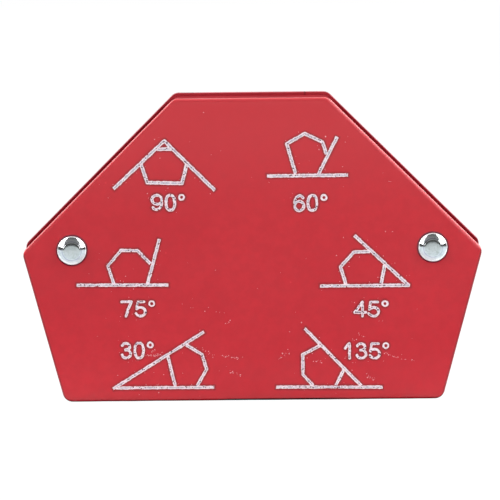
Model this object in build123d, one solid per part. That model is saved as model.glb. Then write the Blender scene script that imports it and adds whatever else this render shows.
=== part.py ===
# Six-angle magnetic welding holder: a riveted sandwich of two steel pole plates
# around ferrite block magnets.
#
# Frame: millimetres, +Z up, +X to the right as seen from the front.
# The origin is the middle of the bottom working edge, half way through the
# thickness.  The front plate faces -Y, the rear plate faces +Y.
#
# Outline: a hexagon, symmetric about X = 0.  The two upper sides slope at 45
# degrees, and the two lower sides stand at 75 degrees to the bottom edge.
# Between them the six edges give 30, 45, 60, 75, 90 and 135 degrees.
from build123d import *
from math import hypot, radians, tan
import os

# ------------------------------------------------------- shared dimensions
HALF_WIDTH = 56.3        # side corners, before they are rounded
SIDE_CORNER_Z = 37.1     # height of the side corners above the bottom edge
HEIGHT = 74.6            # height of the top edge
UPPER_SLOPE_DEG = 45.0   # upper sides, from horizontal
LOWER_SLOPE_DEG = 75.0   # lower sides, from horizontal
CORNER_R = 2.5           # plan radius of every plate corner

PLATE_T = 1.5            # sheet gauge of each pole plate
CORE_T = 12.0            # clear gap between the plates
CORE_HALF = CORE_T / 2
OUTER_HALF = CORE_HALF + PLATE_T

RIVET_X = 44.1           # rivet axes, each side of the middle
RIVET_Z = 37.6
RIVET_SHANK_R = 2.0      # 4 mm semi-tubular rivet
BUSH_R = 4.0             # steel sleeve around each rivet, sets the plate gap

MAGNET_L = 40.0          # ferrite block, magnetised through its thickness
MAGNET_H = 25.0
MAGNET_T = 11.8
UPPER_MAGNET_Z = 45.4    # lower face of the upper block
LOWER_MAGNET_Z = 3.4     # lower face of the lower pair
LOWER_MAGNET_X = 21.6    # block centres, left and right

CUTTER_L = 60            # cutters along Y, longer than the holder is thick
SIDES = (-1, 1)

# ------------------------------------------------------------------ outline
TOP_HALF = HALF_WIDTH - (HEIGHT - SIDE_CORNER_Z) / tan(radians(UPPER_SLOPE_DEG))
BOTTOM_HALF = HALF_WIDTH - SIDE_CORNER_Z / tan(radians(LOWER_SLOPE_DEG))
# Sharp corners (x, z), anticlockwise as seen from the front.
OUTLINE = [
    (-BOTTOM_HALF, 0.0),
    (BOTTOM_HALF, 0.0),
    (HALF_WIDTH, SIDE_CORNER_Z),
    (TOP_HALF, HEIGHT),
    (-TOP_HALF, HEIGHT),
    (-HALF_WIDTH, SIDE_CORNER_Z),
]


def inset_outline(inset):
    """The outline with every side moved in by inset, still with sharp corners."""
    sides = []  # a point on each moved side, then the side's direction
    for (x0, z0), (x1, z1) in zip(OUTLINE, OUTLINE[1:] + OUTLINE[:1]):
        run, rise = x1 - x0, z1 - z0
        length = hypot(run, rise)
        # the outline runs anticlockwise, so the inside is on the left
        sides.append((x0 - rise / length * inset, z0 + run / length * inset, run, rise))
    points = []
    for i in range(len(sides)):
        # each corner is where the side before it crosses the side after it
        x0, z0, run0, rise0 = sides[i - 1]
        x1, z1, run1, rise1 = sides[i]
        cross = run0 * rise1 - run1 * rise0
        along = ((x1 - x0) * rise1 - run1 * (z1 - z0)) / cross
        points.append((x0 + run0 * along, z0 + rise0 * along))
    return points


def prism(points, radius, y_low, y_high):
    """A polygon in X and Z with rounded corners, from y_low to y_high."""
    face = make_face(Polyline(*points, close=True).edges())
    body = Pos(0, 0, -y_high) * extrude(face, y_high - y_low, dir=(0, 0, 1))
    body = fillet(body.edges().filter_by(Axis.Z), radius)
    # stand it up: (x, y, z) becomes (x, -z, y)
    return Rot(90, 0, 0) * body


def rod(x, z, radius, length=CUTTER_L):
    """A cylinder along Y, centred on y = 0."""
    return Pos(x, 0, z) * Rot(90, 0, 0) * Cylinder(radius, length)


# -------------------------------------------------------------- pole plates
EDGE_ROLL_R = 0.35       # stamped roll-over on the outer face of each plate
EDGE_BREAK_R = 0.12      # broken edge on the inner face
RIVET_HOLE_R = RIVET_SHANK_R + 0.05


def edges_at_y(body, y):
    """The edges that lie wholly in the plane at y."""
    found = []
    for edge in body.edges():
        box = edge.bounding_box()
        if abs(box.min.Y - y) < 1e-6 and abs(box.max.Y - y) < 1e-6:
            found.append(edge)
    return found


def pole_plate(outer_y, inner_y):
    """A stamped plate: rolled edge on its outer face, broken edge on its inner face."""
    body = prism(OUTLINE, CORNER_R, min(outer_y, inner_y), max(outer_y, inner_y))
    body = fillet(edges_at_y(body, outer_y), EDGE_ROLL_R)
    body = fillet(edges_at_y(body, inner_y), EDGE_BREAK_R)
    for side in SIDES:
        body = body - rod(side * RIVET_X, RIVET_Z, RIVET_HOLE_R)
    return body


# ---------------------------------------------------------------- edge band
BAND_INSET = 0.8         # the band sits this far inside the plate edges
BAND_T = 0.8             # strip gauge
BAND_W = CORE_T - 0.1    # strip width, a light slide fit between the plates
SEAM_X = 18.0            # butt seam of the strip, on the bottom side
SEAM_GAP = 0.35
SEAM_CUT_Y = 40          # seam cutter, longer than the strip is wide
SEAM_CUT_Z = 6           # and tall enough to cut through the bottom side only


def edge_band():
    """One strip bent round the core, six bends, its ends meeting on the bottom side."""
    inner = BAND_INSET + BAND_T
    band = prism(inset_outline(BAND_INSET), CORNER_R - BAND_INSET, -BAND_W / 2, BAND_W / 2)
    band = band - prism(inset_outline(inner), CORNER_R - inner, -BAND_W, BAND_W)
    return band - Pos(SEAM_X, 0, 0) * Box(SEAM_GAP, SEAM_CUT_Y, SEAM_CUT_Z)


# -------------------------------------------------------- magnets and epoxy
MAGNET_CHAMFER = 0.6
BOND_T = (CORE_T - MAGNET_T) / 2   # epoxy layer on each pole face
BOND_MARGIN = 1.6        # the epoxy stops this far inside the block's outline
BOND_CORNER_R = 2.0

# block: x of its centre, z of its lower face
MAGNET_PLACES = {
    "upper_magnet": (0, UPPER_MAGNET_Z),
    "lower_left_magnet": (-LOWER_MAGNET_X, LOWER_MAGNET_Z),
    "lower_right_magnet": (LOWER_MAGNET_X, LOWER_MAGNET_Z),
}


def magnet(x, z_low):
    block = Box(MAGNET_L, MAGNET_T, MAGNET_H)
    block = chamfer(block.edges(), MAGNET_CHAMFER)
    return Pos(x, 0, z_low + MAGNET_H / 2) * block


def bond(x, z_low, side):
    """A thin layer between one pole face of a block and the plate on that side."""
    layer = Box(MAGNET_L - 2 * BOND_MARGIN, BOND_T, MAGNET_H - 2 * BOND_MARGIN)
    layer = fillet(layer.edges().filter_by(Axis.Y), BOND_CORNER_R)
    return Pos(x, side * (MAGNET_T + BOND_T) / 2, z_low + MAGNET_H / 2) * layer


def epoxy_bond_layers():
    layers = [bond(x, z_low, side) for x, z_low in MAGNET_PLACES.values() for side in SIDES]
    return Compound(children=layers)


# ------------------------------------------------------------------ carrier
CARRIER_T = 11.7
BAR_CLEARANCE = 0.3      # between the bar and the blocks above and below it
BAR_LOW = LOWER_MAGNET_Z + MAGNET_H + BAR_CLEARANCE
BAR_HIGH = UPPER_MAGNET_Z - BAR_CLEARANCE
BAR_MID = (BAR_LOW + BAR_HIGH) / 2
BAR_HALF = 37.5          # half length of the bar
WEB_CLEARANCE = 0.2      # between the web and the block on each side of it
WEB_HALF = LOWER_MAGNET_X - MAGNET_L / 2 - WEB_CLEARANCE
WEB_LOW = 3.6
EYE_R = 6.4              # eyelets that slip over the bushes
EYE_BORE_R = BUSH_R + 0.12
NECK_OVERLAP = 4         # each neck starts this far inside the bar's end
NECK_H = 2 * EYE_R * 0.8
WINDOW_W = 27.0          # cored windows, one each side of the middle
WINDOW_H = 10.6
WINDOW_X = 17.4
WINDOW_R = 2.0


def magnet_carrier():
    """Like poles push each other apart, so a moulded anchor shape keeps the blocks spaced."""
    bar = Pos(0, 0, BAR_MID) * Box(2 * BAR_HALF, CARRIER_T, BAR_HIGH - BAR_LOW)
    # the web hangs between the lower pair of blocks
    web = Pos(0, 0, (WEB_LOW + BAR_MID) / 2) * Box(2 * WEB_HALF, CARRIER_T, BAR_MID - WEB_LOW)
    body = bar + web
    # each neck ends on its rivet axis
    neck_len = RIVET_X - BAR_HALF + NECK_OVERLAP
    for side in SIDES:
        body = body + rod(side * RIVET_X, RIVET_Z, EYE_R, CARRIER_T)
        neck = Box(neck_len, CARRIER_T, NECK_H)
        body = body + Pos(side * (RIVET_X - neck_len / 2), 0, RIVET_Z) * neck
    for side in SIDES:
        body = body - rod(side * RIVET_X, RIVET_Z, EYE_BORE_R)
        window = Box(WINDOW_W, CUTTER_L, WINDOW_H)
        window = fillet(window.edges().filter_by(Axis.Y), WINDOW_R)
        body = body - Pos(side * WINDOW_X, 0, BAR_MID) * window
    return body


# ------------------------------------------------------------------- bushes
BUSH_BORE_R = RIVET_SHANK_R + 0.1
BUSH_CHAMFER = 0.2


def bush(x):
    tube = Cylinder(BUSH_R, CORE_T) - Cylinder(BUSH_BORE_R, CORE_T * 2)
    tube = chamfer(tube.edges(), BUSH_CHAMFER)
    return Pos(x, 0, RIVET_Z) * Rot(90, 0, 0) * tube


# ------------------------------------------------------------------- rivets
HEAD_R = 3.5
HEAD_H = 1.45
HEAD_FLAT_R = 1.7        # flat on top of the head
TAIL_R = 3.2             # rolled clinch on the rear plate
TAIL_H = 1.05
TAIL_BORE_R = 1.35       # hollow end of the semi-tubular shank
TAIL_BORE_DEPTH = 4.2    # below the rear plate's outer face
TAIL_BORE_CONE = 0.75    # further depth of the bore's conical end
BORE_START_DEPTH = 0.9   # where the throat of the clinch meets the straight bore

# Curves of the half section, as (radius, distance along +Y from a datum).
# Datum: top of the head.
HEAD_DOME = (
    (HEAD_FLAT_R, 0),
    (2.1, 0.10),
    (2.45, 0.24),
    (2.95, 0.53),
    (3.42, 0.905),
)
HEAD_SHOULDER = (HEAD_DOME[-1], (HEAD_R - 0.018, 0.972), (HEAD_R, 1.045))
# Datum: outer face of the front plate.
HEAD_HEEL = ((HEAD_R, -0.08), (HEAD_R - 0.023, -0.023), (HEAD_R - 0.08, 0))
# Datum: outer face of the rear plate.  Out over the plate, up, and back into the bore.
CLINCH_RIM = ((TAIL_R - 0.25, 0), (TAIL_R, 0.32), (TAIL_R - 0.18, 0.62))
CLINCH_CREST = (CLINCH_RIM[-1], (TAIL_R - 0.72, TAIL_H), (TAIL_R - 1.3, 0.86))
CLINCH_THROAT = (
    CLINCH_CREST[-1],
    (TAIL_BORE_R + 0.16, -0.1),
    (TAIL_BORE_R, -BORE_START_DEPTH),
)


def from_datum(points, datum):
    return [(radius, datum + along) for radius, along in points]


def rivet(x):
    """Semi-tubular rivet, set: a half section turned about the Y axis."""
    front, rear = -OUTER_HALF, OUTER_HALF
    top = front - HEAD_H
    dome = from_datum(HEAD_DOME, top)
    shoulder = from_datum(HEAD_SHOULDER, top)
    heel = from_datum(HEAD_HEEL, front)
    rim = from_datum(CLINCH_RIM, rear)
    crest = from_datum(CLINCH_CREST, rear)
    throat = from_datum(CLINCH_THROAT, rear)
    bore_end = (TAIL_BORE_R, rear - TAIL_BORE_DEPTH)
    bore_tip = (0, rear - TAIL_BORE_DEPTH - TAIL_BORE_CONE)
    section = [
        Line((0, top), dome[0]),
        Spline(*dome, tangents=((1, 0.03), (0.743, 0.669))),
        ThreePointArc(*shoulder),
        Line(shoulder[-1], heel[0]),
        ThreePointArc(*heel),
        Line(heel[-1], (RIVET_SHANK_R, front)),
        Line((RIVET_SHANK_R, front), (RIVET_SHANK_R, rear)),
        Line((RIVET_SHANK_R, rear), rim[0]),
        ThreePointArc(*rim),
        ThreePointArc(*crest),
        Spline(*throat, tangents=((-1, -0.75), (0, -1))),
        Line(throat[-1], bore_end),
        Line(bore_end, bore_tip),
        Line(bore_tip, (0, top)),
    ]
    edges = [edge for piece in section for edge in piece.edges()]
    body = revolve(make_face(edges), axis=Axis.Y)
    return Pos(x, 0, RIVET_Z) * body


# -------------------------------------------------------------------- parts
parts = {
    "front_plate": pole_plate(-OUTER_HALF, -CORE_HALF),
    "rear_plate": pole_plate(OUTER_HALF, CORE_HALF),
    "edge_band": edge_band(),
    **{name: magnet(x, z_low) for name, (x, z_low) in MAGNET_PLACES.items()},
    "epoxy_bond_layers": epoxy_bond_layers(),
    "magnet_carrier": magnet_carrier(),
    "left_bush": bush(-RIVET_X),
    "right_bush": bush(RIVET_X),
    "left_rivet": rivet(-RIVET_X),
    "right_rivet": rivet(RIVET_X),
}

os.makedirs("parts", exist_ok=True)
for name, shape in parts.items():
    export_step(shape, f"parts/{name}.step")
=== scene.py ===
"""A flat hexagonal holder of two red painted plates, printed with six angle diagrams.

The plates stand upright on the floor, with width along X and height along Z. The printed
front plate faces -Y. An edge band is bent round the core between the plates, and two
rivets run through along Y. Shapes are worked out in millimetres and made in metres.
"""
import math
from collections import namedtuple
from contextlib import contextmanager

import bmesh
import bpy
import numpy as np
from mathutils import Matrix, Vector
from mathutils.geometry import delaunay_2d_cdt


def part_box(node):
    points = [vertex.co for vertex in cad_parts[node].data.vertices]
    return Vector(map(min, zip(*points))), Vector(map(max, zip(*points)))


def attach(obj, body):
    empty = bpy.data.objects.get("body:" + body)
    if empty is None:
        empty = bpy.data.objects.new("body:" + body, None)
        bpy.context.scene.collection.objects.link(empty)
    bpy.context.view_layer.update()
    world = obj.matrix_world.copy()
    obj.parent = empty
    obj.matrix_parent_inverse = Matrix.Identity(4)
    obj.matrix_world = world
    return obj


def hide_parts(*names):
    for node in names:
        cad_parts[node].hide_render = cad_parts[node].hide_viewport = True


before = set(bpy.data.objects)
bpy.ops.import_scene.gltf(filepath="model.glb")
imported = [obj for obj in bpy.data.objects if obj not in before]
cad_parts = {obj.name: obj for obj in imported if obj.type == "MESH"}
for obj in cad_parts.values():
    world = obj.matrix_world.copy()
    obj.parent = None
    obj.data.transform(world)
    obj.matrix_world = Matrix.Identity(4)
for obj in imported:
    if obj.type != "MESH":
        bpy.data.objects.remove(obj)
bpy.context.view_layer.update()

MM = 0.001


# ----------------------------------------------------------------- dimensions, mm
def box_mm(node):
    return (np.array(corner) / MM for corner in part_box(node))


HALF_WIDTH, SIDE_Z, CORNER_R = 56.3, 37.1, 2.5  # SIDE_Z: height of the widest points
LEAN = math.radians(15)  # of the lower sides; the upper ones slope at 45 degrees
front_lo, front_hi = box_mm("front_plate")
rear_lo, rear_hi = box_mm("rear_plate")
HEIGHT = float(front_hi[2] - front_lo[2])
FRONT_Y, FRONT_IN = float(front_lo[1]), float(front_hi[1])
REAR_IN, REAR_Y = float(rear_lo[1]), float(rear_hi[1])
TOP_HALF = HALF_WIDTH - (HEIGHT - SIDE_Z)
BOTTOM_HALF = HALF_WIDTH - SIDE_Z * math.tan(LEAN)
assert abs(front_hi[0] - 56.01) < 0.1 and abs(HEIGHT - 74.6) < 0.1

# Corners of the outline before rounding, counter-clockwise seen from the front
POLY = [
    (-BOTTOM_HALF, 0.0),
    (BOTTOM_HALF, 0.0),
    (HALF_WIDTH, SIDE_Z),
    (TOP_HALF, HEIGHT),
    (-TOP_HALF, HEIGHT),
    (-HALF_WIDTH, SIDE_Z),
]

band_lo, band_hi = box_mm("edge_band")
BAND_INSET = float(front_hi[2] - band_hi[2])
BAND_HALF = float(band_hi[1])
BAND_T, SEAM_X, SEAM_GAP = 0.8, 18.0, 0.35

RivetPlace = namedtuple("RivetPlace", "x z head_y tail_y head_r")


def rivet_place(node):
    lo, hi = box_mm(node)
    return RivetPlace(
        x=float(lo[0] + hi[0]) / 2,
        z=float(lo[2] + hi[2]) / 2,
        head_y=float(lo[1]),
        tail_y=float(hi[1]),
        head_r=float(hi[0] - lo[0]) / 2,
    )


LEFT_RIVET, RIGHT_RIVET = RIVETS = [rivet_place(s + "_rivet") for s in ("left", "right")]
RIVET_HOLE_R = 2.05
HOLE_POINTS = 48


# ----------------------------------------------------------------- noise and outline
def lattice(ix, iz, seed):
    """Repeatable pseudo-random numbers from 0 to 1 on whole-number points."""
    with np.errstate(over="ignore"):
        h = ix.astype(np.int64) * 374761393 + iz.astype(np.int64) * 668265263
        h = (h + seed * 1442695041) & 0xFFFFFFFF
        h = ((h ^ (h >> 13)) * 1274126177) & 0xFFFFFFFF
        h = ((h ^ (h >> 16)) * 2246822519) & 0xFFFFFFFF
        h = h ^ (h >> 15)
    return (h & 0xFFFFFF) / float(0xFFFFFF)


def noise2(x, z, size, seed):
    """Smooth noise from -1 to 1 with features about size across."""
    x, z = np.asarray(x, float) / size, np.asarray(z, float) / size
    ix, iz = np.floor(x), np.floor(z)
    fx, fz = x - ix, z - iz
    fx, fz = fx * fx * (3 - 2 * fx), fz * fz * (3 - 2 * fz)
    near = lattice(ix, iz, seed) * (1 - fx) + lattice(ix + 1, iz, seed) * fx
    far = lattice(ix, iz + 1, seed) * (1 - fx) + lattice(ix + 1, iz + 1, seed) * fx
    return 2 * (near * (1 - fz) + far * fz) - 1


def outline(spacing, arc_steps):
    """Core points and outward normals all round.

    A ring inset by d is core + normal * (CORNER_R - d).
    """
    n = len(POLY)
    sides = []
    for i in range(n):
        start, end = np.array(POLY[i]), np.array(POLY[(i + 1) % n])
        along = (end - start) / np.linalg.norm(end - start)
        sides.append((start, along, np.array([along[1], -along[0]])))
    corners = []
    for i in range(n):
        (p, along_p, out_p), (q, along_q, out_q) = sides[i - 1], sides[i]
        p, q = p - out_p * CORNER_R, q - out_q * CORNER_R
        t = np.linalg.solve(np.array([along_p, -along_q]).T, q - p)[0]
        corners.append(p + along_p * t)
    points, normals = [], []
    for i in range(n):
        before, after = sides[i - 1][2], sides[i][2]
        a0, a1 = math.atan2(before[1], before[0]), math.atan2(after[1], after[0])
        while a1 < a0:
            a1 += 2 * math.pi
        for k in range(arc_steps + 1):
            angle = a0 + (a1 - a0) * k / arc_steps
            points.append(corners[i])
            normals.append(np.array([math.cos(angle), math.sin(angle)]))
        c0, c1 = corners[i], corners[(i + 1) % n]
        steps = max(2, int(np.linalg.norm(c1 - c0) / spacing))
        for k in range(1, steps):
            points.append(c0 + (c1 - c0) * k / steps)
            normals.append(after)
    return np.array(points), np.array(normals)


def distance_along(points):
    steps = np.linalg.norm(np.diff(points, axis=0), axis=1)
    return np.concatenate([[0], np.cumsum(steps)])


# ----------------------------------------------------------------- mesh helpers
@contextmanager
def editing(mesh):
    edit = bmesh.new()
    edit.from_mesh(mesh)
    yield edit
    edit.to_mesh(mesh)
    edit.free()
    mesh.update()


def new_object(name, verts, faces, smooth=False):
    """A mesh object from mm coordinates."""
    mesh = bpy.data.meshes.new(name)
    places = [tuple(v) for v in np.asarray(verts, float) * MM]
    mesh.from_pydata(places, [], [tuple(int(i) for i in f) for f in faces])
    mesh.validate(clean_customdata=False)
    mesh.update()
    if smooth:
        mesh.polygons.foreach_set("use_smooth", [True] * len(mesh.polygons))
    obj = bpy.data.objects.new(name, mesh)
    bpy.context.scene.collection.objects.link(obj)
    return obj


def closed_object(name, verts, faces, smooth=True, sharp_above=None):
    """A closed mesh with its faces turned outwards.

    Edges over sharp_above degrees are marked, so flats stay flat beside roundings.
    """
    obj = new_object(name, verts, faces, smooth)
    with editing(obj.data) as edit:
        bmesh.ops.recalc_face_normals(edit, faces=edit.faces)
    if sharp_above is not None:
        limit = math.radians(sharp_above)
        with editing(obj.data) as edit:
            for edge in edit.edges:
                if len(edge.link_faces) == 2 and edge.calc_face_angle(0) > limit:
                    edge.smooth = False
    return obj


def ring_quads(rings, size):
    """Faces between consecutive closed rings of size vertices each."""
    faces = []
    for r in range(rings - 1):
        a, b = r * size, (r + 1) * size
        for i in range(size):
            j = (i + 1) % size
            faces.append((a + i, a + j, b + j, b + i))
    return faces


def join(parts):
    verts, faces = [], []
    for part_verts, part_faces in parts:
        base = len(verts)
        verts += part_verts
        faces += [tuple(i + base for i in face) for face in part_faces]
    return verts, faces


def triangulate(points, edges, keep):
    """Constrained triangles whose centres pass keep, and each vertex's input point or -1."""
    verts, _, faces, origin, _, _ = delaunay_2d_cdt(
        [Vector(p) for p in points], edges, [], 1, 1e-6
    )
    verts = np.array([tuple(v) for v in verts])
    triangles = np.array([f for f in faces if len(f) == 3], int)
    triangles = triangles[keep(verts[triangles].mean(1))]
    return verts, triangles, np.array([o[0] if o else -1 for o in origin], int)


# ----------------------------------------------------------------- plates
# Rim profiles: inset from the outline, depth behind the outer face
FACE_RIM = [(1.9, 0.0), (1.3, -0.002), (0.95, -0.008), (0.72, -0.010), (0.56, -0.007)]
SHEARED_LAND = [
    (0.012, 0.56), (0.052, 0.86), (0.096, 1.12), (0.132, 1.30), (0.165, 1.40), (0.205, 1.465),
]
ROLL_INSET, ROLL_DEPTH, ROLL_STEPS = 0.46, 0.42, 10
REAR_LAND_SCALE = 0.35
INNER_RIM_INSET = 0.95

# Rings of mesh points round each rivet: radius, points
DISH_RINGS = [
    (2.7, 48), (3.3, 64), (3.45, 72), (3.55, 80), (3.64, 80), (3.73, 80),
    (3.82, 80), (4.0, 72), (4.3, 64), (5.0, 56), (6.0, 56), (7.4, 48),
]
GRID_PITCH = 3.0
GRID_CLEAR_R = 8.6  # no grid points nearer a rivet than this
RIM_CLEARANCE = 0.8  # no free points nearer the rim than this


def circle(cx, cz, r, n):
    t = np.arange(n) * 2 * np.pi / n
    return np.stack([cx + r * np.cos(t), cz + r * np.sin(t)], 1)


def rim_profile(thick, land_scale):
    profile = list(FACE_RIM)
    for k in range(ROLL_STEPS + 1):
        a = k / ROLL_STEPS * math.pi / 2
        profile.append((ROLL_INSET * (1 - math.sin(a)), ROLL_DEPTH * (1 - math.cos(a))))
    profile += [(d * land_scale, t) for d, t in SHEARED_LAND + [(0.27, thick)]]
    return profile + [(INNER_RIM_INSET, thick)]


def rim_rings(y_out, y_in, seed):
    """The plate's rim from outer face to inner face, with paint building up near the edge."""
    toward = 1.0 if y_in > y_out else -1.0
    core, normal = outline(spacing=1.5, arc_steps=9)
    run = distance_along(core + normal * CORNER_R)
    wave = 0.6 * noise2(run, 0, 6.0, seed) + 0.4 * noise2(run, 9, 2.2, seed + 1)
    wave = wave * np.minimum(1, np.minimum(run, run[-1] - run) / 4)
    # the roll is softer on the upper sides, most on the right slope, least on the left
    upper = np.clip((core[:, 1] - SIDE_Z - 1.0) / 4.0, 0, 1)
    left_or_top = np.where(core[:, 0] < 1.0 - TOP_HALF, 0.22, 0.26)
    soft = upper * np.where(core[:, 0] > TOP_HALF - 1.0, 0.42, left_or_top)
    soft = np.concatenate([soft[-4:], soft, soft[:4]])
    soft = np.convolve(soft, np.full(9, 1 / 9), "valid")
    rings = []
    land_scale = 1.0 if toward > 0 else REAR_LAND_SCALE
    for d, t in rim_profile(abs(y_in - y_out), land_scale):
        build_up = 0.0
        if t < 0.5:
            build_up = 0.035 * math.exp(-(((d - 0.2) / 0.35) ** 2))
            if d < 1.2:
                d = d + soft * min(d, 0.6) * (1.2 - d) / 0.74
        elif t < 1.45:
            build_up = 0.010
        inset = np.maximum(d + build_up * wave, -0.02)
        ring = core + normal * (CORNER_R - inset)[:, None]
        rings.append(np.stack([ring[:, 0], np.full(len(core), y_out + toward * t), ring[:, 1]], 1))
    return rings


def clear_of_rim(ring, points):
    """The points that lie RIM_CLEARANCE or more inside the ring."""
    points = np.array(points)
    a, b = ring, np.roll(ring, -1, 0)
    side = b - a
    cross = side[:, 0] * (points[:, 1:] - a[:, 1]) - side[:, 1] * (points[:, :1] - a[:, 0])
    inside = (cross / (np.linalg.norm(side, axis=1) + 1e-9)).min(1)
    return list(points[inside >= RIM_CLEARANCE])


def dish_depth(x, z):
    """Shallow dish and narrow step down round each rivet."""
    depth = 0.0
    for rivet in RIVETS:
        r = math.hypot(x - rivet.x, z - rivet.z)
        depth += 0.030 * math.exp(-((max(r - 3.0, 0) / 1.7) ** 2))
        depth += 0.10 * min(1.0, max(0.0, (3.80 - r) / 0.28))
    return depth


def fill_face(verts, faces, ring, first, y, dish):
    """Fills a ring, whose vertices start at first, round the rivet holes.

    dish is the Y direction of the dishes, or 0 for a flat face. Returns the hole loops.
    """
    count = len(ring)
    points = list(ring)
    edges = [(i, (i + 1) % count) for i in range(count)]
    holes = []
    for rivet in RIVETS:
        start = len(points)
        holes.append(start)
        points += list(circle(rivet.x, rivet.z, RIVET_HOLE_R, HOLE_POINTS))
        edges += [(start + i, start + (i + 1) % HOLE_POINTS) for i in range(HOLE_POINTS)]
        if dish:
            for r, n in DISH_RINGS:
                points += clear_of_rim(ring, circle(rivet.x, rivet.z, r, n))
    if dish:
        grid = [
            (x, z)
            for x in np.arange(-54, 54.1, GRID_PITCH)
            for z in np.arange(2.5, HEIGHT - 2, GRID_PITCH)
            if all(math.hypot(x - r.x, z - r.z) >= GRID_CLEAR_R for r in RIVETS)
        ]
        points += clear_of_rim(ring, grid)

    def outside_holes(centres):
        ok = np.ones(len(centres), bool)
        for r in RIVETS:
            ok &= np.hypot(centres[:, 0] - r.x, centres[:, 1] - r.z) > RIVET_HOLE_R * 0.995
        return ok

    flat, triangles, source = triangulate(points, edges, outside_holes)
    index = []
    for (x, z), k in zip(flat, source):
        if 0 <= k < count:
            index.append(first + k)
        else:
            index.append(len(verts))
            verts.append(np.array([x, y + dish * dish_depth(x, z) if dish else y, z]))
    faces += [tuple(index[i] for i in triangle) for triangle in triangles]
    placed = {k: index[i] for i, k in enumerate(source) if k >= 0}
    return [[placed[start + i] for i in range(HOLE_POINTS)] for start in holes]


def plate(name, y_out, y_in, seed):
    """A stamped and painted plate: rolled outer edge, sheared land, broken inner edge,
    and a shallow dish under each rivet."""
    rings = rim_rings(y_out, y_in, seed)
    count = len(rings[0])
    verts = list(np.concatenate(rings))
    faces = ring_quads(len(rings), count)
    dish = 1.0 if y_in > y_out else -1.0
    outer = fill_face(verts, faces, rings[0][:, [0, 2]], 0, y_out, dish)
    last = (len(rings) - 1) * count
    inner = fill_face(verts, faces, rings[-1][:, [0, 2]], last, y_in, 0)
    for a, b in zip(outer, inner):
        for i in range(HOLE_POINTS):
            j = (i + 1) % HOLE_POINTS
            faces.append((a[i], a[j], b[j], b[i]))
    return closed_object(name, verts, faces, sharp_above=35)


# ----------------------------------------------------------------- edge band
BAND_ROUND = 0.16  # rounding of the long outer edges


def band_path():
    """Core points and normals from one butted end to the other, starting right of the seam."""
    core, normal = outline(spacing=1.2, arc_steps=12)
    place = core + normal * (CORNER_R - BAND_INSET)
    n = len(core)
    below = [
        i
        for i in range(n)
        if abs(place[i][1] - BAND_INSET) < 1e-6 and abs(normal[i][1] + 1) < 1e-6
    ]
    past_seam = [i for i in below if place[i][0] > SEAM_X + 0.5]
    start = min(past_seam, key=lambda i: place[i][0])
    order = [(start + k) % n for k in range(n)]
    order = [i for i in order if not (i in below and abs(place[i][0] - SEAM_X) < 0.5)]
    ends = [np.array([[SEAM_X + gap, CORNER_R]]) for gap in (SEAM_GAP / 2, -SEAM_GAP / 2)]
    down = np.array([[0.0, -1.0]])
    return (
        np.concatenate([ends[0], core[order], ends[1]]),
        np.concatenate([down, normal[order], down]),
    )


def band_section():
    """Inset and y round the strip's section."""
    d0, d1, e = BAND_INSET, BAND_INSET + BAND_T, BAND_ROUND
    turns = [k / 3 * math.pi / 2 for k in range(4)]
    arc = [(d0 + e * (1 - math.sin(a)), e * (1 - math.cos(a))) for a in turns]
    section = [(d, -BAND_HALF + rise) for d, rise in arc]
    section += [(d0, y) for y in np.linspace(-BAND_HALF + e, BAND_HALF - e, 9)[1:-1]]
    section += [(d, BAND_HALF - rise) for d, rise in reversed(arc)]
    return section + [(d1, BAND_HALF), (d1, 0.0), (d1, -BAND_HALF)]


def edge_band(name):
    """The strip bent round the core, ends butted on the bottom side, with slightly
    rounded long edges and a hand-bent waviness."""
    core, normal = band_path()
    section = band_section()
    n, m = len(core), len(section)
    run = distance_along(core + normal)
    verts = []
    for i in range(n):
        end = min(run[i], run[-1] - run[i])
        for d, y in section:
            bow = lift = 0.0
            if d < BAND_INSET + 0.3:
                bow = 0.030 * float(noise2(run[i], y, 9.0, 21))
                bow += 0.018 * float(noise2(run[i], y, 3.5, 22))
                bow += 0.025 * (abs(y) / BAND_HALF) ** 4
                lift = 0.05 * math.exp(-((end / 0.9) ** 2))
            x, z = core[i] + normal[i] * (CORNER_R - d - bow + lift)
            verts.append((x, y, z))
    faces = ring_quads(n, m)
    faces.append(tuple(range(m)))
    faces.append(tuple((n - 1) * m + k for k in range(m - 1, -1, -1)))
    return closed_object(name, verts, faces, sharp_above=40)


# ----------------------------------------------------------------- rivets
RIVET_STEPS = 128
SHANK_R = 2.0
# Head: radius, drop behind the crown; the last two are inset from the head's radius
HEAD_CROWN = [
    (0.0, 0.0), (0.7, 0.004), (1.25, 0.016), (1.7, 0.040), (1.92, 0.070), (2.10, 0.122),
    (2.20, 0.176), (2.27, 0.190), (2.45, 0.262), (2.95, 0.560), (3.25, 0.785), (3.44, 0.945),
]
HEAD_RIM = [(0.012, 1.005), (0.0, 1.06)]
# Clinch: radius, distance behind the rear plate, before and after its top
CLINCH_OUTSIDE = [
    (2.55, 0.0), (2.95, 0.0), (3.14, 0.12), (3.20, 0.33), (3.12, 0.56), (2.90, 0.80),
]
CLINCH_HOLLOW = [(1.76, 0.66), (1.56, 0.32), (1.42, -0.10), (1.36, -0.9)]
# The hollow's blind end: radius, depth in from the rear plate
HOLLOW_END = [(1.35, 4.0), (1.22, 4.22), (0.8, 4.55), (0.0, 4.95)]


def smooth_curve(points, n):
    """Catmull-Rom through points."""
    p = np.array(points, float)
    p = np.concatenate([[2 * p[0] - p[1]], p, [2 * p[-1] - p[-2]]])
    out = []
    for i in range(1, len(p) - 2):
        a, b, c, d = p[i - 1 : i + 3]
        for k in range(n):
            t = k / n
            bend = (2 * a - 5 * b + 4 * c - d) * t * t
            out.append(0.5 * (2 * b + (c - a) * t + bend + (3 * b - a - 3 * c + d) * t**3))
    out.append(p[-2])
    return np.array(out)


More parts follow.
